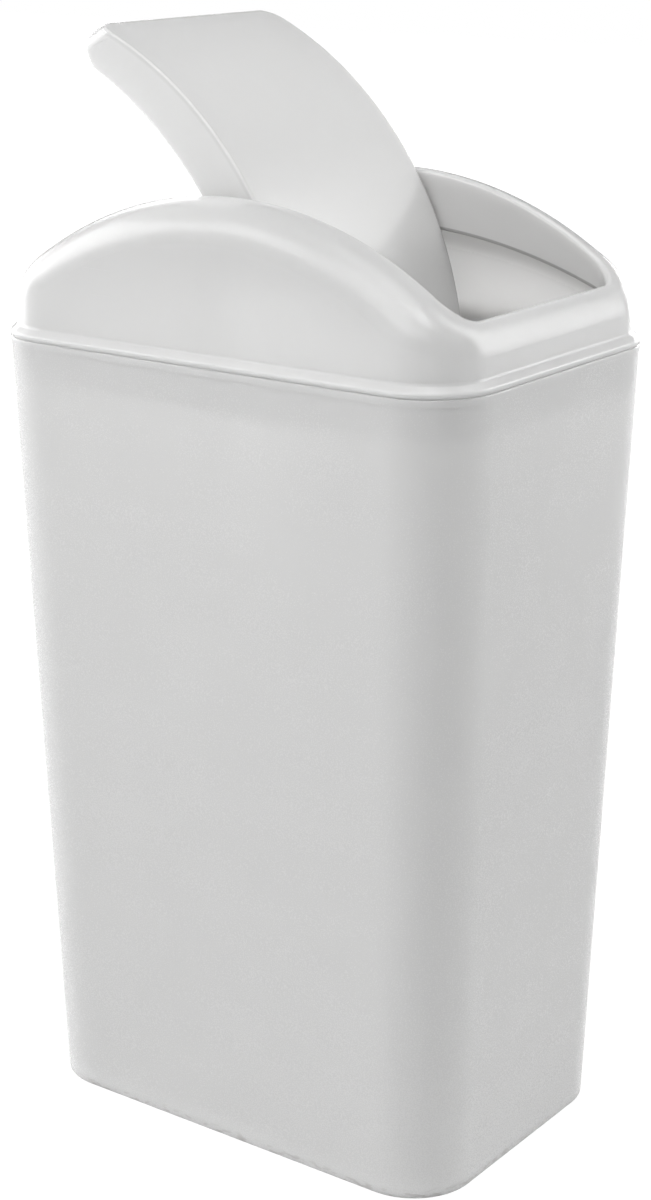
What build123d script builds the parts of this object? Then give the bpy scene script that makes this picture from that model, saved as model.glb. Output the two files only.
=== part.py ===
"""Countertop trash can with a swing lid: a tapered bin, a lift-off lid housing and a curved flap.

Millimetres, +Z up. The origin is the middle of the base, on the surface that the bin stands on.
X runs along the bin's long sides, and Y from its front long side (-Y) to its rear one (+Y).
The flap is written out closed, and turned to its open rest position as the last step.
"""
from build123d import *
import os

# Bin: a rounded rectangle in plan, growing evenly from the foot to the rim.
rim_height = 255.0
foot_half_length = 79.7
foot_half_depth = 53.0
foot_corner = 21.2
rim_half_length = 87.2
rim_half_depth = 60.5
rim_corner = 21.9
bin_wall = 1.6
floor_thickness = 2.0
foot_recess_depth = 1.4
foot_ring_width = 6.5
foot_edge_radius = 0.5
inner_floor_radius = 4.0
rim_band_height = 2.2
rim_band_proud = 0.2
rim_outer_radius = 0.45
rim_inner_radius = 0.4

# Lid housing: a skirt that plugs into the rim, a lip that sits on it, and an arched hood.
lip_inset = 0.1
lip_height = 1.6
lip_lower_radius = 0.25
flare_height = 2.1
hood_inset = 2.25
hood_draft = 0.04
lip_edge_radius = 0.8
flare_radius = 1.4
crest_height = 303.0
crest_radius = 126.0
hood_round = 13.0
hood_wall = 1.6
skirt_depth = 12.0
skirt_clearance = 0.3
skirt_lead_in = 0.5
crush_rib_radius = 0.7
crush_rib_proud = 0.2
crush_rib_length = 9.0
crush_rib_spacing = 46.0

# Mouth in the hood, with a hem turned down all round it.
mouth_half_length = 78.6
mouth_half_depth = 43.5
mouth_corner = 8.5
mouth_edge_radius = 1.3
hem_thickness = 1.6
hem_middle_height = 284.6
hem_lower_radius = 192.0
hem_edge_round = 0.5

# Flap: a curved sheet with a skirt turned down all round it, hung on its long sides.
flap_top_height = 302.7
flap_top_radius = 120.6
flap_half_length = 76.6
flap_half_depth = 42.3
flap_corner = 5.5
flap_wall = 1.8
flap_top_edge_radius = 0.7
flap_skirt_middle_height = 286.8
flap_skirt_radius = 124.7
flap_end_height = 267.4
flap_end_corner = 5.0
flap_open_angle = 60.0

# Pivots: a push-in pin through each long side, turning freely in the flap and tight in the hem.
pivot_height = 291.8
pin_radius = 2.5
flap_running_clearance = 0.06
boss_radius = 5.0
flap_boss_height = 1.5
hem_boss_height = 2.5
pin_head_radius = 4.4
pin_head_thickness = 1.6
pin_head_gap = 0.15
pin_barb_radius = 3.0
pin_barb_length = 1.8
pin_barb_gap = 0.1
pin_slot_width = 1.0
pin_slot_depth = 5.0

# Blanks that only trim others run this far past them.
overrun = 20.0


def rounded_plan(half_length, half_depth, corner, height):
    """A horizontal rounded rectangle, centred on the Z axis."""
    return Pos(0, 0, height) * RectangleRounded(2 * half_length, 2 * half_depth, corner)


def bin_plan(height, inset):
    """The bin's plan at a height, drawn in by the inset."""
    share = height / rim_height
    half_length = foot_half_length + share * (rim_half_length - foot_half_length)
    half_depth = foot_half_depth + share * (rim_half_depth - foot_half_depth)
    corner = foot_corner + share * (rim_corner - foot_corner)
    return rounded_plan(half_length - inset, half_depth - inset, corner - inset, height)


def hood_plan(height, inset):
    """The hood's plan at a height: the rim's plan drawn in by the step and the draft."""
    drawn_in = hood_inset + inset + hood_draft * (height - rim_height - lip_height - flare_height)
    return rounded_plan(rim_half_length - drawn_in, rim_half_depth - drawn_in, rim_corner - drawn_in, height)


def between(lower_plan, upper_plan):
    """The straight-sided block between two plans."""
    return loft([lower_plan, upper_plan], ruled=True)


def cross_cylinder(top_height, radius):
    """A cylinder along Y whose top touches a height."""
    return Pos(0, 0, top_height - radius) * Cylinder(radius, 4 * rim_half_depth, rotation=(90, 0, 0))


def make_bin_body():
    outer = between(bin_plan(0, 0), bin_plan(rim_height, 0))
    outer = fillet(outer.edges().group_by(Axis.Z)[0], foot_edge_radius)
    band = between(
        bin_plan(rim_height - rim_band_height, -rim_band_proud),
        bin_plan(rim_height, -rim_band_proud),
    )
    outer = outer + band

    floor_top = foot_recess_depth + floor_thickness
    cavity = between(bin_plan(floor_top, bin_wall), bin_plan(rim_height, bin_wall))
    cavity = fillet(cavity.edges().group_by(Axis.Z)[0], inner_floor_radius)
    recess = between(bin_plan(0, foot_ring_width), bin_plan(foot_recess_depth, foot_ring_width))
    body = outer - cavity - recess

    body = body.fillet(rim_outer_radius, top_face(body).outer_wire().edges())
    return body.fillet(rim_inner_radius, top_face(body).inner_wires()[0].edges())


def top_face(solid):
    """The highest face of a solid."""
    return solid.faces().sort_by(Axis.Z)[-1]


def hood_block(inset, lowest):
    """The arched hood as a solid, drawn in all over by the inset."""
    tall = between(hood_plan(lowest, inset), hood_plan(crest_height + overrun, inset))
    arched = tall & cross_cylinder(crest_height - inset, crest_radius - inset)
    arch_face = arched.faces().filter_by(GeomType.CYLINDER).sort_by(SortBy.AREA)[-1]
    return fillet(arch_face.edges(), hood_round - inset)


def make_lid_housing():
    lip_top = rim_height + lip_height
    flare_top = lip_top + flare_height
    lip = between(bin_plan(rim_height, lip_inset), bin_plan(lip_top, lip_inset))
    flare = between(bin_plan(lip_top, lip_inset), hood_plan(flare_top, 0))
    skirt_bottom = rim_height - skirt_depth
    skirt_inset = bin_wall + skirt_clearance
    skirt = between(bin_plan(skirt_bottom, skirt_inset), bin_plan(rim_height, skirt_inset))
    skirt = skirt.fillet(skirt_lead_in, skirt.edges().group_by(Axis.Z)[0])
    outer = lip + flare + hood_block(0, flare_top)
    outer = outer.fillet(lip_lower_radius, outer.faces().sort_by(Axis.Z)[0].outer_wire().edges())
    outer = outer.fillet(lip_edge_radius, edges_at_height(outer, lip_top))
    outer = outer.fillet(flare_radius, edges_at_height(outer, flare_top))
    outer = outer + skirt

    cavity = hood_block(hood_wall, rim_height)
    skirt_bore = extrude(hood_plan(rim_height, hood_wall), -skirt_depth - overrun)
    shell = outer - cavity - skirt_bore

    hem = mouth_prism(hem_thickness) & cross_cylinder(crest_height - hood_wall / 2, crest_radius)
    hem = hem - cross_cylinder(hem_middle_height, hem_lower_radius)
    mouth = mouth_prism(0)
    housing = shell + hem - mouth
    housing = housing.fillet(mouth_edge_radius, hem_edges(housing, crest_height, crest_radius))
    housing = housing.fillet(hem_edge_round, hem_edges(housing, hem_middle_height, hem_lower_radius))

    for side in (-1, 1):
        housing = housing + pivot_cylinder(
            boss_radius, side, mouth_half_depth + hem_thickness / 2, hem_thickness / 2 + hem_boss_height
        )
        housing = housing - pivot_cylinder(pin_radius, side, mouth_half_depth - overrun / 2, overrun)
    return housing + crush_ribs(skirt_bottom)


def edges_at_height(solid, height):
    """The edges of a solid that lie level at a height."""
    return solid.edges().filter_by(lambda edge: abs(edge.bounding_box().min.Z - height) < 0.001
                                   and abs(edge.bounding_box().max.Z - height) < 0.001)


def mouth_prism(grown):
    """The mouth's plan as an upright block, grown all round."""
    plan = rounded_plan(
        mouth_half_length + grown, mouth_half_depth + grown, mouth_corner + grown, rim_height
    )
    return extrude(plan, crest_height + overrun - rim_height)


def hem_edges(housing, top_height, radius):
    """The hem's edges that lie on a cylinder along Y whose top touches a height."""
    just_over = 0.01
    axis_height = top_height - radius
    reach_x = mouth_half_length + hem_thickness + just_over
    reach_y = mouth_half_depth + hem_thickness + just_over

    def on_hem(edge):
        middle = edge @ 0.5
        off_cylinder = (middle.X ** 2 + (middle.Z - axis_height) ** 2) ** 0.5 - radius
        return abs(off_cylinder) < just_over and abs(middle.X) < reach_x and abs(middle.Y) < reach_y

    return housing.edges().filter_by(on_hem)


def pivot_cylinder(radius, side, start, length):
    """A cylinder on the pivot axis, from a distance off the middle outwards on one side."""
    centre = side * (start + length / 2)
    return Pos(0, centre, pivot_height) * Cylinder(radius, length, rotation=(90, 0, 0))


def crush_ribs(skirt_bottom):
    """Thin upright ribs on the skirt that take up its play in the rim."""
    foot = skirt_bottom + skirt_lead_in
    share = foot / rim_height
    half_length = foot_half_length + share * (rim_half_length - foot_half_length)
    half_depth = foot_half_depth + share * (rim_half_depth - foot_half_depth)
    sunk = bin_wall + skirt_clearance + crush_rib_radius - crush_rib_proud
    middle = foot + crush_rib_length / 2
    rib = Cylinder(crush_rib_radius, crush_rib_length)
    ribs = []
    for side in (-1, 1):
        for step in (-1, 0, 1):
            ribs.append(Pos(step * crush_rib_spacing, side * (half_depth - sunk), middle) * rib)
        ribs.append(Pos(side * (half_length - sunk), 0, middle) * rib)
    return ribs


def make_swing_flap():
    outer = flap_block(0)
    cavity = flap_block(flap_wall)
    flap = outer - cavity
    for side in (-1, 1):
        boss_start = flap_half_depth - flap_wall - flap_boss_height
        flap = flap + pivot_cylinder(boss_radius, side, boss_start, flap_boss_height + flap_wall / 2)
        flap = flap - pivot_cylinder(
            pin_radius + flap_running_clearance, side, boss_start - overrun / 2, overrun
        )
    return flap


def flap_block(inset):
    """The closed flap as a solid, or with an inset the hollow under it, open below."""
    half_length = flap_half_length - inset
    half_depth = flap_half_depth - inset
    plan = rounded_plan(half_length, half_depth, flap_corner - inset, flap_end_height - overrun)
    block = extrude(plan, flap_top_height + 2 * overrun - flap_end_height)
    block = block & cross_cylinder(flap_top_height - inset, flap_top_radius - inset)
    if inset:
        return block
    arch_face = block.faces().filter_by(GeomType.CYLINDER).sort_by(SortBy.AREA)[-1]
    block = fillet(arch_face.edges(), flap_top_edge_radius)
    block = block - cross_cylinder(flap_skirt_middle_height, flap_skirt_radius)
    ends = Pos(0, 0, flap_end_height + overrun) * Box(2 * half_length, 4 * half_depth, 2 * overrun)
    return block & fillet(ends.edges().filter_by(Axis.Y).group_by(Axis.Z)[0], flap_end_corner)


def make_pivot_pin(side):
    """A pin pushed out from under the flap, through its skirt, until its barb snaps behind the hem."""
    head_inner = flap_half_depth - flap_wall - flap_boss_height - pin_head_gap - pin_head_thickness
    barb_start = mouth_half_depth + hem_thickness + hem_boss_height + pin_barb_gap
    barb_end = barb_start + pin_barb_length
    pin = pivot_cylinder(pin_head_radius, side, head_inner, pin_head_thickness)
    pin = pin + pivot_cylinder(pin_radius, side, head_inner, barb_end - head_inner)
    barb = pivot_cylinder(pin_barb_radius, side, barb_start, pin_barb_length)
    pin = pin + barb
    slot_centre = side * (barb_end - pin_slot_depth / 2)
    slot = Pos(0, slot_centre, pivot_height) * Box(pin_slot_width, pin_slot_depth, 4 * pin_radius)
    return pin - slot


def build_parts():
    pivot_axis = Axis((0, 0, pivot_height), (0, 1, 0))
    return {
        "bin_body": make_bin_body(),
        "lid_housing": make_lid_housing(),
        "swing_flap": make_swing_flap().rotate(pivot_axis, flap_open_angle),
        "front_pivot_pin": make_pivot_pin(-1),
        "rear_pivot_pin": make_pivot_pin(1),
    }


if __name__ == "__main__":
    os.makedirs("parts", exist_ok=True)
    for node, solid in build_parts().items():
        export_step(solid, f"parts/{node}.step")
        print(node, round(solid.volume), solid.is_valid, solid.bounding_box())
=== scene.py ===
import math

import bpy
from mathutils import Matrix, Vector


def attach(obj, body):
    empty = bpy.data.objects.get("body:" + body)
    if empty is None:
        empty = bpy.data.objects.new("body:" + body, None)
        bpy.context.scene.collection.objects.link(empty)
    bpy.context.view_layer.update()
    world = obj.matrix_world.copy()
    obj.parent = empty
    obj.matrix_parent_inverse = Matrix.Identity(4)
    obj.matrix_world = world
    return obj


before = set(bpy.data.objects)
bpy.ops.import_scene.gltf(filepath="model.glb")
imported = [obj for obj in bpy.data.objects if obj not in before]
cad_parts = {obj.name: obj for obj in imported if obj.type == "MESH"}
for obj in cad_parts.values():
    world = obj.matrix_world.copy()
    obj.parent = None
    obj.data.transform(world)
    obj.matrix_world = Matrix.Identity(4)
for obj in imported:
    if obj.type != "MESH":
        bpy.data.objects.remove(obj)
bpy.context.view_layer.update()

# ---- Camera: stands off the corner between the front and the right side, a little above the lid, and
# looks down at the middle of the bin.
LENS_MM = 72.38
SENSOR_MM = 36.0
CAMERA_DISTANCE = 0.77526
CAMERA_AZIMUTH = math.radians(36.13)
CAMERA_ELEVATION = math.radians(17.31)
AIM_HEIGHT = 0.16915
AIM_SIDE = 0.00095


def towards(azimuth, elevation):
    """The direction out from the bin: azimuth 0 is its front, and a quarter turn its right side."""
    level = math.cos(elevation)
    return Vector((math.sin(azimuth) * level, -math.cos(azimuth) * level, math.sin(elevation)))


aim = Vector((AIM_SIDE * math.cos(CAMERA_AZIMUTH), AIM_SIDE * math.sin(CAMERA_AZIMUTH), AIM_HEIGHT))
camera_side = towards(CAMERA_AZIMUTH, CAMERA_ELEVATION)
camera_data = bpy.data.cameras.new("camera")
camera_data.lens = LENS_MM
camera_data.sensor_width = SENSOR_MM
camera = bpy.data.objects.new("camera", camera_data)
camera.location = aim + CAMERA_DISTANCE * camera_side
camera.rotation_euler = (-camera_side).to_track_quat("-Z", "Y").to_euler()
bpy.context.scene.collection.objects.link(camera)
bpy.context.scene.camera = camera
bpy.context.scene.view_settings.view_transform = "Standard"

# ---- Stage: a white sweep of floor under a white surround. The floor keeps the bin's soft shadow close
# to its foot, and fades to plain white further out.
WHITE = (1.0, 1.0, 1.0, 1.0)
FLOOR_SIZE = 8.0
FLOOR_PAPER = (0.92, 0.92, 0.92, 1.0)
FLOOR_GLOW = 1.08
GLOW_BY_FOOT = 0.80
SHADOW_REACH = (0.12, 0.55)
FLOOR_IN_GLOSS = 0.6


class Wire:
    """A node's output that takes part in Python arithmetic: each operator adds a Math node."""

    def __init__(self, tree, socket):
        self.tree = tree
        self.socket = socket

    def node(self, kind, settings, inputs, output=0):
        """Any node of the same tree: its settings first, then the values or wires of its sockets."""
        made = self.tree.nodes.new(kind)
        for name, value in settings.items():
            setattr(made, name, value)
        for name, value in inputs.items():
            if isinstance(value, Wire):
                self.tree.links.new(value.socket, made.inputs[name])
            else:
                made.inputs[name].default_value = value
        return Wire(self.tree, made.outputs[output]) if made.outputs else None

    def math(self, operation, *values):
        return self.node("ShaderNodeMath", {"operation": operation}, dict(enumerate(values)))

    def __add__(self, other):
        return self.math("ADD", self, other)

    def __radd__(self, other):
        return self.math("ADD", other, self)

    def __sub__(self, other):
        return self.math("SUBTRACT", self, other)

    def __rsub__(self, other):
        return self.math("SUBTRACT", other, self)

    def __mul__(self, other):
        return self.math("MULTIPLY", self, other)

    def __rmul__(self, other):
        return self.math("MULTIPLY", other, self)

    def __abs__(self):
        return self.math("ABSOLUTE", self)


def empty_material(name):
    """A material with no nodes but its output, and a wire that reads Object coordinates."""
    material = bpy.data.materials.new(name)
    material.use_nodes = True
    material.node_tree.nodes.clear()
    coordinates = material.node_tree.nodes.new("ShaderNodeTexCoord")
    return material, Wire(material.node_tree, coordinates.outputs["Object"])


def rise(value, start, end):
    """0 at the start and 1 at the end, with a soft step between. An end below the start falls instead."""
    ends = {"Value": value, "From Min": start, "From Max": end}
    return value.node("ShaderNodeMapRange", {"interpolation_type": "SMOOTHSTEP"}, ends)


bpy.ops.object.select_all(action="DESELECT")
bpy.ops.mesh.primitive_plane_add(size=FLOOR_SIZE, location=(0, 0, 0))
floor = bpy.context.object
floor.name = "floor"
floor_material, spot = empty_material("white_sweep")
paper = spot.node("ShaderNodeBsdfDiffuse", {}, {"Color": FLOOR_PAPER})
glow = spot.node("ShaderNodeEmission", {}, {"Color": WHITE, "Strength": FLOOR_GLOW})
seen = spot.node("ShaderNodeLightPath", {}, {}, "Is Camera Ray")
mirrored = spot.node("ShaderNodeLightPath", {}, {}, "Is Glossy Ray")
from_middle = spot.node("ShaderNodeVectorMath", {"operation": "LENGTH"}, {0: spot}, "Value")
glow_share = rise(from_middle, *SHADOW_REACH) * (1.0 - GLOW_BY_FOOT) + GLOW_BY_FOOT
factor = seen * glow_share + mirrored * FLOOR_IN_GLOSS
sweep = spot.node("ShaderNodeMixShader", {}, {0: factor, 1: paper, 2: glow})
spot.node("ShaderNodeOutputMaterial", {}, {"Surface": sweep})
floor.data.materials.append(floor_material)

world = bpy.data.worlds.new("surround")
bpy.context.scene.world = world
world.use_nodes = True
world.node_tree.nodes.clear()
sky = Wire(world.node_tree, world.node_tree.nodes.new("ShaderNodeLightPath").outputs["Is Camera Ray"])
backdrop = sky.node("ShaderNodeBackground", {}, {"Color": WHITE, "Strength": sky})
sky.node("ShaderNodeOutputWorld", {}, {"Surface": backdrop})

# ---- Studio lamps: large soft panels stood round the bin, all at one distance from its middle.
LAMP_DISTANCE = 1.8
SHORT_SIDE = 0.7
LONG_SIDE = 1.4
LAMPS = {
    # name: azimuth and elevation that it shines from in degrees, width, height, watts
    "lamp_left_low": (-95.0, 6.0, LONG_SIDE, SHORT_SIDE, 13.0),
    "lamp_left_high": (-70.0, 25.0, LONG_SIDE, SHORT_SIDE, 12.0),
    "lamp_left_rear": (-130.0, 25.0, SHORT_SIDE, SHORT_SIDE, 4.0),
    "lamp_front_left": (-35.0, 40.0, SHORT_SIDE, SHORT_SIDE, 5.0),
    "lamp_front": (0.0, 45.0, SHORT_SIDE, LONG_SIDE, 10.0),
    "lamp_front_right": (30.0, 35.0, SHORT_SIDE, SHORT_SIDE, 3.0),
    "lamp_right_high": (50.0, 60.0, SHORT_SIDE, SHORT_SIDE, 8.0),
    "lamp_top": (35.0, 80.0, SHORT_SIDE, SHORT_SIDE, 4.0),
    "lamp_right_rear": (140.0, 20.0, SHORT_SIDE, LONG_SIDE, 13.0),
    "lamp_rear_high": (120.0, 50.0, SHORT_SIDE, SHORT_SIDE, 4.0),
    "lamp_rear_low": (180.0, 6.0, SHORT_SIDE, SHORT_SIDE, 11.0),
}
for name, (azimuth, elevation, width, height, watts) in LAMPS.items():
    panel = bpy.data.lights.new(name, "AREA")
    panel.shape = "RECTANGLE"
    panel.size = width
    panel.size_y = height
    panel.energy = watts
    lamp_side = towards(math.radians(azimuth), math.radians(elevation))
    stand = bpy.data.objects.new(name, panel)
    stand.location = aim + LAMP_DISTANCE * lamp_side
    stand.rotation_euler = (-lamp_side).to_track_quat("-Z", "Y").to_euler()
    stand.visible_camera = False
    bpy.context.scene.collection.objects.link(stand)

# ---- Bin: one injection moulding in light grey polypropylene, drawn upwards off its core. Its skin is
# satin from the tool, rubbed glossy at the rim by the lid, and scuffed at the foot by the worktop.
FOOT_HALF_LENGTH = 0.0797
FOOT_HALF_DEPTH = 0.0530
BIN_CORNER = 0.0215
BIN_FLARE = 0.0075
RIM_HEIGHT = 0.255
BIN_TAPER = BIN_FLARE / RIM_HEIGHT

PLASTIC_GREY = (0.67, 0.67, 0.668, 1.0)
# Inner faces are painted lighter than the outer skin: painted light standing in for light that glows in
# through the thin walls.
INSIDE_PAINTED_LIGHT_GREY = (0.775, 0.769, 0.76, 1.0)
RUBBED_GREY = (0.74, 0.74, 0.738, 1.0)
SCUFF_GREY = (0.43, 0.42, 0.41, 1.0)
SCRAPS_BROWN = (0.50, 0.45, 0.37, 1.0)
PLASTIC_IOR = 1.49
BIN_ROUGHNESS = 0.27
BIN_LIGHT_DEPTH = 0.006

GRAIN_SCALE = 2600.0
GRAIN_HEIGHT = 0.00003
GRAIN_STRENGTH = 0.5
GRAIN_SHEEN = 0.08
CLOUD_SCALE = 18.0
CLOUD_SHADE = 0.22
CLOUD_SHEEN = 0.03
FLOW_SCALE = (90.0, 90.0, 7.0)
FLOW_SHADE = 0.25
SHADE_SPREAD = 0.03

# Where the inner face begins, under the outer face and above the floor of the bin.
INNER_FACE = (0.0007, 0.0011)
BIN_FLOOR = (0.0015, 0.0025)
# Each mark has the noise that breaks it up, the step that cuts the noise, and the heights between which
# it comes in.
SCRAPS_SCALE = 45.0
SCRAPS_STEP = (0.50, 0.66)
SCRAPS_HEIGHTS = (0.060, 0.006)
SCRAPS_TINT = 0.35
SCRAPS_MATT = 0.12
HANDLED_STEP = (0.42, 0.74)
HANDLED_GLOSS = 0.012
BIN_HANDLED_SCALE = 26.0
BIN_HANDLED_HEIGHTS = (0.130, 0.200)
SCUFF_SCALE = (260.0, 260.0, 900.0)
SCUFF_STEP = (0.50, 0.62)
SCUFF_HEIGHTS = (0.0045, 0.0008)
SCUFF_TINT = 0.6
SCUFF_MATT = 0.15
SCUFF_CUT = 2.0
RIM_RUB_HEIGHTS = (RIM_HEIGHT - 0.0016, RIM_HEIGHT - 0.0004)
RIM_RUB_TINT = 0.5
RIM_RUB_GLOSS = 0.10
BIN_SCRATCH_SCALE = (2200.0, 2200.0, 30.0)
SCRATCH_SHARE = 0.72
SCRATCH_EDGE = 0.03
SCRATCH_TINT = 0.10
SCRATCH_CUT = 1.5


def axes(place):
    """The three coordinates of a place, each as a wire of its own."""
    split = place.node("ShaderNodeSeparateXYZ", {}, {"Vector": place})
    return [Wire(split.tree, output) for output in split.socket.node.outputs]


def noise(place, scale, detail=2.0):
    """Soft random mottling between 0 and 1. A larger scale makes it finer."""
    return place.node("ShaderNodeTexNoise", {}, {"Vector": place, "Scale": scale, "Detail": detail})


def stretched(place, scale):
    """A place whose axes are scaled each by its own number, so that a pattern on it is drawn out."""
    return place.node("ShaderNodeMapping", {}, {"Vector": place, "Scale": scale})


def tinted(share, colour, other):
    """One colour turned into another by a share from 0 to 1."""
    return share.node("ShaderNodeMix", {"data_type": "RGBA"}, {0: share, 6: colour, 7: other}, 2)


def depth_in_plan(x, y, half_length, half_depth, corner):
    """How deep a place lies inside an upright rounded block, measured level from its side."""
    past_x = x.math("MAXIMUM", abs(x) - (half_length - corner), 0.0)
    past_y = x.math("MAXIMUM", abs(y) - (half_depth - corner), 0.0)
    return corner - x.math("SQRT", past_x * past_x + past_y * past_y)


def depth_under_round(depth, other_depth, radius):
    """How deep a place lies under two faces that meet in a rounded edge."""
    short = depth.math("MAXIMUM", radius - depth, 0.0)
    other_short = depth.math("MAXIMUM", radius - other_depth, 0.0)
    return radius - depth.math("SQRT", short * short + other_short * other_short)


def moulded_skin(place, colour, roughness):
    """Satin polypropylene as moulded: fine tool grain, faint flow streaks, an uneven sheen."""
    grain = noise(place, GRAIN_SCALE)
    clouds = noise(place, CLOUD_SCALE, 3.0)
    streaks = noise(stretched(place, FLOW_SCALE), 1.0)
    shade = (clouds - 0.5) * CLOUD_SHADE + (streaks - 0.5) * FLOW_SHADE + 0.5
    dark = tuple(channel * (1.0 - SHADE_SPREAD) for channel in colour[:3]) + (1.0,)
    light = tuple(channel * (1.0 + SHADE_SPREAD) for channel in colour[:3]) + (1.0,)
    sheen = (clouds - 0.5) * CLOUD_SHEEN + (grain - 0.5) * GRAIN_SHEEN + roughness
    return tinted(shade, dark, light), sheen, grain


def hair_scratches(place, scale):
    """Sparse fine scratches, longest along the axis whose scale is smallest."""
    return rise(noise(stretched(place, scale), 1.0, 3.0), SCRATCH_SHARE, SCRATCH_SHARE + SCRATCH_EDGE)


def plastic_surface(skin, sheen, relief, light_depth):
    """Closes a material: a rough skin over a body that lets light some way in."""
    bump = sheen.node("ShaderNodeBump", {}, {
        "Strength": GRAIN_STRENGTH,
        "Distance": GRAIN_HEIGHT,
        "Height": relief,
    })
    plastic = sheen.node("ShaderNodeBsdfPrincipled", {}, {
        "Base Color": skin,
        "Roughness": sheen,
        "Normal": bump,
        "IOR": PLASTIC_IOR,
        "Subsurface Weight": 1.0,
        "Subsurface Radius": (1.0, 1.0, 1.0),
        "Subsurface Scale": light_depth,
    })
    sheen.node("ShaderNodeOutputMaterial", {}, {"Surface": plastic})


def dress(node, material):
    """Gives a CAD node its finish."""
    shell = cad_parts[node]
    shell.data.materials.clear()
    shell.data.materials.append(material)


bin_plastic, place = empty_material("bin_plastic")
x, y, z = axes(place)
skin, sheen, relief = moulded_skin(place, PLASTIC_GREY, BIN_ROUGHNESS)
half_length = z * BIN_TAPER + FOOT_HALF_LENGTH
half_depth = z * BIN_TAPER + FOOT_HALF_DEPTH
wall_depth = depth_in_plan(x, y, half_length, half_depth, BIN_CORNER)
inside = rise(wall_depth, *INNER_FACE) * rise(z, *BIN_FLOOR)
outside = 1.0 - inside
scraps = rise(noise(place, SCRAPS_SCALE, 4.0), *SCRAPS_STEP) * rise(z, *SCRAPS_HEIGHTS) * inside
handled = rise(noise(place, BIN_HANDLED_SCALE, 3.0), *HANDLED_STEP)
handled = handled * rise(z, *BIN_HANDLED_HEIGHTS) * outside
scuffed = rise(noise(stretched(place, SCUFF_SCALE), 1.0, 3.0), *SCUFF_STEP) * rise(z, *SCUFF_HEIGHTS)
scratches = hair_scratches(place, BIN_SCRATCH_SCALE)
rubbed = rise(z, *RIM_RUB_HEIGHTS)
skin = tinted(inside, skin, INSIDE_PAINTED_LIGHT_GREY)
skin = tinted(scraps * SCRAPS_TINT, skin, SCRAPS_BROWN)
skin = tinted(scuffed * SCUFF_TINT, skin, SCUFF_GREY)
skin = tinted(scratches * SCRATCH_TINT + rubbed * RIM_RUB_TINT, skin, RUBBED_GREY)
sheen = sheen - handled * HANDLED_GLOSS - rubbed * RIM_RUB_GLOSS
sheen = sheen + scuffed * SCUFF_MATT + scraps * SCRAPS_MATT
relief = relief - scratches * SCRATCH_CUT - scuffed * SCUFF_CUT
plastic_surface(skin, sheen, relief, BIN_LIGHT_DEPTH)
dress("bin_body", bin_plastic)

# ---- Gate mark: the stub that the moulding's feed leaves in the middle of the foot's recess, snapped off
# inside a shallow dish so that the bin doesn't rock on it.
RECESS_CEILING = 0.0014
GATE_RADIUS = 0.0042
GATE_HEIGHT = 0.0010
GATE_SUNK = 0.0003
GATE_LIP = 0.0006
GATE_DISH = 0.0003
GATE_STUB_INSET = 0.0024
GATE_STUB_HEIGHT = 0.0004
GATE_EDGE = 0.00008
CIRCLE_SIDES = 48
SMOOTH_BELOW = math.radians(40.0)
TORN_SCALE = 3500.0
TORN_HEIGHTS = (0.0009, 0.0006)
TORN_MATT = 0.2
TORN_LIFT = 3.0


def pick_faces(piece, wanted):
    """Opens a piece in edit mode with only those faces selected that are wanted."""
    bpy.ops.object.mode_set(mode="EDIT")
    bpy.ops.mesh.select_mode(type="FACE")
    bpy.ops.mesh.select_all(action="DESELECT")
    bpy.ops.object.mode_set(mode="OBJECT")
    for face in piece.data.polygons:
        face.select = wanted(face)
    bpy.ops.object.mode_set(mode="EDIT")


def soften_edges(piece, width):
    """Rounds a piece's sharp edges and shades the rest smooth."""
    bevel = piece.modifiers.new("edge_round", "BEVEL")
    bevel.width = width
    bevel.segments = 2
    bpy.ops.object.modifier_apply(modifier=bevel.name)
    bpy.ops.object.shade_smooth_by_angle(angle=SMOOTH_BELOW)


bpy.ops.object.select_all(action="DESELECT")
bpy.ops.mesh.primitive_cylinder_add(
    vertices=CIRCLE_SIDES, radius=GATE_RADIUS, depth=GATE_HEIGHT,
    location=(0, 0, RECESS_CEILING + GATE_SUNK - GATE_HEIGHT / 2),
)
gate_mark = bpy.context.object
gate_mark.name = "gate_mark"
pick_faces(gate_mark, lambda face: face.normal.z < -0.5)
bpy.ops.mesh.inset(thickness=GATE_LIP)
bpy.ops.transform.translate(value=(0, 0, GATE_DISH))
bpy.ops.mesh.inset(thickness=GATE_STUB_INSET)
bpy.ops.mesh.extrude_region_move(TRANSFORM_OT_translate={"value": (0, 0, -GATE_STUB_HEIGHT)})
bpy.ops.object.mode_set(mode="OBJECT")
soften_edges(gate_mark, GATE_EDGE)
bpy.ops.object.transform_apply(location=True, rotation=True, scale=True)

gate_plastic, place = empty_material("gate_plastic")
skin, sheen, relief = moulded_skin(place, PLASTIC_GREY, BIN_ROUGHNESS)
torn = noise(place, TORN_SCALE, 4.0)
x, y, z = axes(place)
whitened = rise(z, *TORN_HEIGHTS)
skin = tinted(whitened * torn, skin, RUBBED_GREY)
sheen = sheen + whitened * TORN_MATT
relief = relief + whitened * torn * TORN_LIFT
plastic_surface(skin, sheen, relief, BIN_LIGHT_DEPTH)
gate_mark.data.materials.append(gate_plastic)
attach(gate_mark, "bin")

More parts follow.
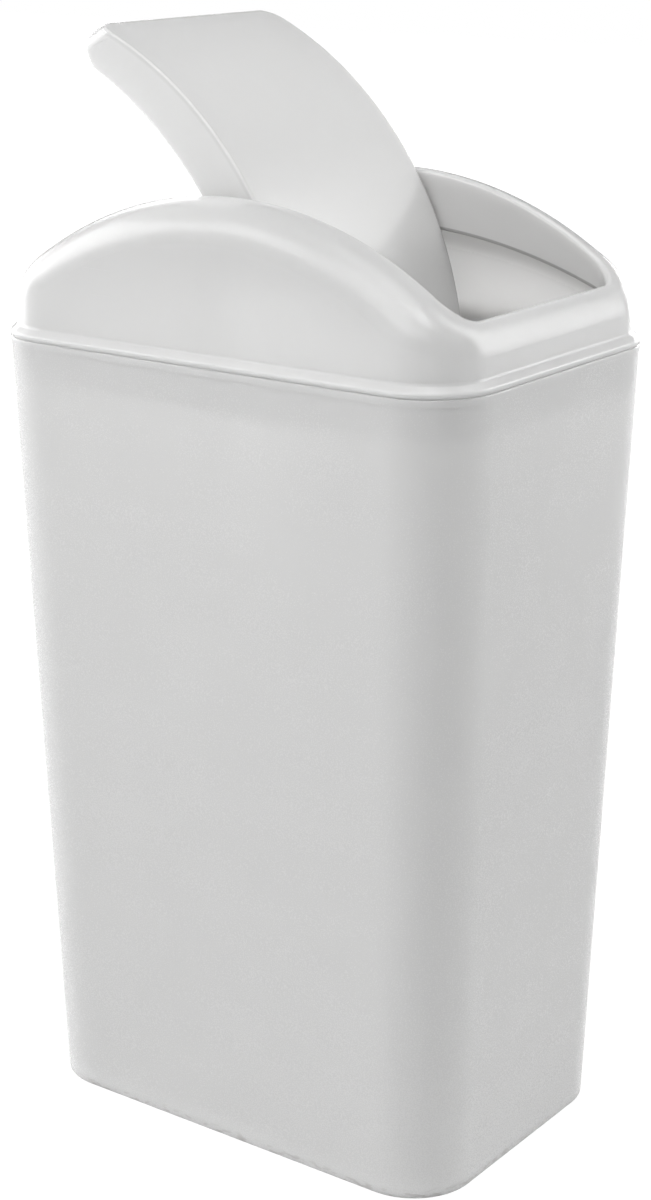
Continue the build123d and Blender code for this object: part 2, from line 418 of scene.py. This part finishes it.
# ---- Lid housing: one moulding in the same polypropylene, pressed into the rim by its skirt. A dark line is painted
# along the lower edge of the hem turned down round its mouth, and a band on the fold behind it: painted
# shade.
HOOD_FOOT = 0.2587
HOOD_HALF_LENGTH = 0.08495
HOOD_HALF_DEPTH = 0.05825
HOOD_CORNER = 0.01965
HOOD_DRAFT = 0.04
CREST_HEIGHT = 0.3030
CREST_RADIUS = 0.126
CREST_AXIS_HEIGHT = CREST_HEIGHT - CREST_RADIUS
HOOD_ROUND = 0.013
MOUTH_HALF_LENGTH = 0.0786
MOUTH_HALF_DEPTH = 0.0435
MOUTH_CORNER = 0.0085
HEM_MIDDLE_HEIGHT = 0.2846
HEM_LOWER_RADIUS = 0.192
HEM_AXIS_HEIGHT = HEM_MIDDLE_HEIGHT - HEM_LOWER_RADIUS

# A little lighter than the bin's grey so that the lid renders brighter: painted light on the same
# plastic.
LID_PAINTED_LIGHT_GREY = (0.688, 0.688, 0.686, 1.0)
# The hem's face is painted lighter still: painted light for the glow that reaches it through the walls.
HEM_PAINTED_LIGHT_GREY = (0.835, 0.828, 0.818, 1.0)
# Grey of the dust round the pivots and pins, and of the painted shade on the hem, its fold and the flap's
# edge.
DUST_AND_SHADE_GREY = (0.30, 0.295, 0.29, 1.0)
LID_ROUGHNESS = 0.24
LID_LIGHT_DEPTH = 0.006
# How far outside the mouth the hem's painted lighter grey ends, just behind its back face.
HEM_BACK = (-0.0022, -0.0018)
# Heights over the hem's lower edge: the painted shadow line on the hem ends above it, and the painted
# shade on the fold below it.
HEM_SHADOW_LINE = (0.0013, 0.0008)
HEM_SHADOW_LINE_TINT = 0.75
HEM_SHADOW_LINE_MATT = 0.2
FOLD_SHADE = (-0.0095, -0.0045)
FOLD_SHADE_TINT = 0.30
FOLD_SHADE_MATT = 0.15
LID_HANDLED_SCALE = 30.0
LID_SCRATCH_SCALE = (40.0, 2000.0, 2000.0)
SKIRT_RUB_HEIGHTS = (RIM_HEIGHT, RIM_HEIGHT - 0.002)
SKIRT_RUB_SCALE = (400.0, 400.0, 30.0)
SKIRT_RUB_STEP = (0.4, 0.6)
SKIRT_RUB_TINT = 0.3
SKIRT_RUB_GLOSS = 0.08

lid_plastic, place = empty_material("lid_plastic")
x, y, z = axes(place)
skin, sheen, relief = moulded_skin(place, LID_PAINTED_LIGHT_GREY, LID_ROUGHNESS)
drawn_in = (z - HOOD_FOOT) * HOOD_DRAFT
wall_depth = depth_in_plan(x, y, HOOD_HALF_LENGTH - drawn_in, HOOD_HALF_DEPTH - drawn_in, HOOD_CORNER)
mouth_depth = depth_in_plan(x, y, MOUTH_HALF_LENGTH, MOUTH_HALF_DEPTH, MOUTH_CORNER)
on_hem = rise(mouth_depth, *HEM_BACK)
from_crest_axis = z - CREST_AXIS_HEIGHT
arch_depth = CREST_RADIUS - x.math("SQRT", x * x + from_crest_axis * from_crest_axis)
under_hood = rise(depth_under_round(wall_depth, arch_depth, HOOD_ROUND), *INNER_FACE)
from_hem_axis = z - HEM_AXIS_HEIGHT
over_hem_edge = x.math("SQRT", x * x + from_hem_axis * from_hem_axis) - HEM_LOWER_RADIUS
hem_shadow_line = on_hem * rise(over_hem_edge, *HEM_SHADOW_LINE)
fold_shade = (1.0 - on_hem) * under_hood * rise(over_hem_edge, *FOLD_SHADE)
hem_face = on_hem * under_hood
outside = 1.0 - under_hood
handled = rise(noise(place, LID_HANDLED_SCALE, 3.0), *HANDLED_STEP) * outside
scratches = hair_scratches(place, LID_SCRATCH_SCALE) * outside
patches = rise(noise(stretched(place, SKIRT_RUB_SCALE), 1.0), *SKIRT_RUB_STEP)
rubbed = rise(z, *SKIRT_RUB_HEIGHTS) * patches
skin = tinted(under_hood, skin, INSIDE_PAINTED_LIGHT_GREY)
skin = tinted(hem_face, skin, HEM_PAINTED_LIGHT_GREY)
# Painted shade: a dark line along the hem's lower edge and a band on the fold behind it, where the hem
# shadows them.
skin = tinted(hem_shadow_line * HEM_SHADOW_LINE_TINT + fold_shade * FOLD_SHADE_TINT, skin, DUST_AND_SHADE_GREY)
skin = tinted(scratches * SCRATCH_TINT + rubbed * SKIRT_RUB_TINT, skin, RUBBED_GREY)
sheen = sheen - handled * HANDLED_GLOSS - rubbed * SKIRT_RUB_GLOSS
sheen = sheen + hem_shadow_line * HEM_SHADOW_LINE_MATT + fold_shade * FOLD_SHADE_MATT
plastic_surface(skin, sheen, relief - scratches * SCRATCH_CUT, LID_LIGHT_DEPTH)
dress("lid_housing", lid_plastic)

# ---- Flap: a curved moulding in the same polypropylene, hung on the two pins and left open. Hands press
# its two ends, which leaves smudges there and scratches along its length.
PIVOT_HEIGHT = 0.2918
FLAP_OPEN = math.radians(60.0)
FLAP_HALF_LENGTH = 0.0766
FLAP_HALF_DEPTH = 0.0423
FLAP_CORNER = 0.0055
FLAP_TOP_HEIGHT = 0.3027
FLAP_TOP_RADIUS = 0.1206
FLAP_AXIS_HEIGHT = FLAP_TOP_HEIGHT - FLAP_TOP_RADIUS
FLAP_WALL = 0.0018

FLAP_ROUGHNESS = 0.25
FLAP_LIGHT_DEPTH = 0.005
OUTER_FACE = (0.0010, 0.0006)
PRESSED_SCALE = 55.0
PRESSED_STEP = (0.42, 0.70)
PRESSED_ENDS = (0.030, 0.062)
FLAP_SCRATCH_SCALE = (22.0, 2400.0, 60.0)
FLAP_SCRATCH_TINT = 0.08
FLAP_SCRATCH_CUT = 1.2
# Painted shade along the flap's edge, which dims the highlight of its rounding, fades out inwards from
# the edge and down its skirt.
EDGE_SHADE_IN = (0.0014, 0.0006)
EDGE_SHADE_DOWN = (0.0020, 0.0010)
EDGE_SHADE_TINT = 0.18
PIVOT_GRIME = (0.0075, 0.0048)
PIVOT_GRIME_TINT = 0.35
PIVOT_GRIME_MATT = 0.15

pivot = Vector((0, 0, PIVOT_HEIGHT))
opening = Matrix.Rotation(FLAP_OPEN, 4, "Y")
closing_shift = pivot - opening.inverted() @ pivot

flap_plastic, place = empty_material("flap_plastic")
closed_place = place.node("ShaderNodeMapping", {}, {
    "Vector": place,
    "Rotation": (0.0, -FLAP_OPEN, 0.0),
    "Location": closing_shift,
})
x, y, z = axes(closed_place)
skin, sheen, relief = moulded_skin(closed_place, PLASTIC_GREY, FLAP_ROUGHNESS)
from_flap_axis = z - FLAP_AXIS_HEIGHT
under_top = FLAP_TOP_RADIUS - x.math("SQRT", x * x + from_flap_axis * from_flap_axis)
edge_depth = depth_in_plan(x, y, FLAP_HALF_LENGTH, FLAP_HALF_DEPTH, FLAP_CORNER)
outer_face = rise(under_top, *OUTER_FACE)
underside = rise(x.math("MINIMUM", under_top, edge_depth), *INNER_FACE)
smudges = rise(noise(closed_place, PRESSED_SCALE, 4.0), *PRESSED_STEP)
pressed = smudges * rise(abs(x), *PRESSED_ENDS) * outer_face
scratches = hair_scratches(closed_place, FLAP_SCRATCH_SCALE) * outer_face
edge_shade = rise(edge_depth, *EDGE_SHADE_IN) * rise(under_top, *EDGE_SHADE_DOWN)
from_pin = z - PIVOT_HEIGHT
round_pin = x.math("SQRT", x * x + from_pin * from_pin)
pivot_grime = rise(round_pin, *PIVOT_GRIME) * underside
skin = tinted(underside, skin, INSIDE_PAINTED_LIGHT_GREY)
# Painted shade along the flap's edge; the grime round the pivot is dirt.
skin = tinted(pivot_grime * PIVOT_GRIME_TINT + edge_shade * EDGE_SHADE_TINT, skin, DUST_AND_SHADE_GREY)
skin = tinted(scratches * FLAP_SCRATCH_TINT, skin, RUBBED_GREY)
sheen = sheen - pressed * HANDLED_GLOSS + pivot_grime * PIVOT_GRIME_MATT
plastic_surface(skin, sheen, relief - scratches * FLAP_SCRATCH_CUT, FLAP_LIGHT_DEPTH)
dress("swing_flap", flap_plastic)

# ---- Ejector marks: the round witness rings of the pins that push the flap out of its mould. They stand
# a little proud of its underside, in two rows.
EJECTOR_RADIUS = 0.0026
EJECTOR_PROUD = 0.00015
EJECTOR_SUNK = 0.0004
EJECTOR_RIM = 0.00035
EJECTOR_EDGE = 0.00004
EJECTOR_ALONG = (-0.058, -0.021, 0.021, 0.058)
EJECTOR_ACROSS = (-0.027, 0.027)
MARK_LIGHT_DEPTH = 0.0006
GROUND_SCALE = 5200.0
GROUND_GLOSS = 0.08
GROUND_LIFT = 0.6

marks = []
for along in EJECTOR_ALONG:
    for across in EJECTOR_ACROSS:
        marks.append((along, across))
bpy.ops.object.select_all(action="DESELECT")
bpy.ops.mesh.primitive_cylinder_add(
    vertices=CIRCLE_SIDES, radius=EJECTOR_RADIUS, depth=EJECTOR_PROUD + EJECTOR_SUNK,
)
first_mark = bpy.context.object
pick_faces(first_mark, lambda face: abs(face.normal.z) > 0.5)
bpy.ops.mesh.inset(thickness=EJECTOR_RIM)
bpy.ops.mesh.bridge_edge_loops()
bpy.ops.object.mode_set(mode="OBJECT")
soften_edges(first_mark, EJECTOR_EDGE)
copies = [first_mark]
for _ in marks[1:]:
    bpy.ops.object.duplicate()
    copies.append(bpy.context.object)
inner_radius = FLAP_TOP_RADIUS - FLAP_WALL
for mark, (along, across) in zip(copies, marks):
    lean = math.asin(along / inner_radius)
    middle = inner_radius + (EJECTOR_SUNK - EJECTOR_PROUD) / 2
    closed_spot = Vector((math.sin(lean) * middle, across, FLAP_AXIS_HEIGHT + math.cos(lean) * middle))
    mark.location = pivot + opening @ (closed_spot - pivot)
    mark.rotation_euler = (0.0, lean + FLAP_OPEN, 0.0)
    mark.select_set(True)
bpy.context.view_layer.objects.active = first_mark
bpy.ops.object.join()
ejector_marks = bpy.context.object
ejector_marks.name = "flap_ejector_marks"
bpy.ops.object.transform_apply(location=True, rotation=True, scale=True)

mark_plastic, place = empty_material("mark_plastic")
# The marks take the hem's grey, which is painted lighter to stand in for light.
skin, sheen, relief = moulded_skin(place, HEM_PAINTED_LIGHT_GREY, FLAP_ROUGHNESS)
ground = noise(place, GROUND_SCALE)
plastic_surface(skin, sheen - ground * GROUND_GLOSS, relief + ground * GROUND_LIFT, MARK_LIGHT_DEPTH)
ejector_marks.data.materials.append(mark_plastic)
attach(ejector_marks, "flap")

# ---- Pivot pins: two acetal snap pins, a little warmer and glossier than the rest. Their split ends are
# pressed out through the flap and the hem, and grey dust gathers round their heads.
ACETAL = (0.66, 0.655, 0.635, 1.0)
PIN_ROUGHNESS = 0.26
PIN_LIGHT_DEPTH = 0.002
PIN_RADIUS = 0.0025
TURNING_RINGS = 22000.0
RING_CUT = 0.4
PIN_GRIME_SCALE = 420.0
PIN_GRIME_STEP = (0.42, 0.62)
PIN_GRIME_REACH = (PIN_RADIUS, PIN_RADIUS + 0.0019)
PIN_GRIME_TINT = 0.35
PIN_GRIME_MATT = 0.18

pin_acetal, place = empty_material("pin_acetal")
x, y, z = axes(place)
skin, sheen, relief = moulded_skin(place, ACETAL, PIN_ROUGHNESS)
from_pin = z - PIVOT_HEIGHT
off_axis = x.math("SQRT", x * x + from_pin * from_pin)
turning_rings = off_axis.math("SINE", off_axis * TURNING_RINGS)
grime = rise(noise(place, PIN_GRIME_SCALE, 3.0), *PIN_GRIME_STEP) * rise(off_axis, *PIN_GRIME_REACH)
skin = tinted(grime * PIN_GRIME_TINT, skin, DUST_AND_SHADE_GREY)
plastic_surface(skin, sheen + grime * PIN_GRIME_MATT, relief + turning_rings * RING_CUT, PIN_LIGHT_DEPTH)
dress("front_pivot_pin", pin_acetal)
dress("rear_pivot_pin", pin_acetal)
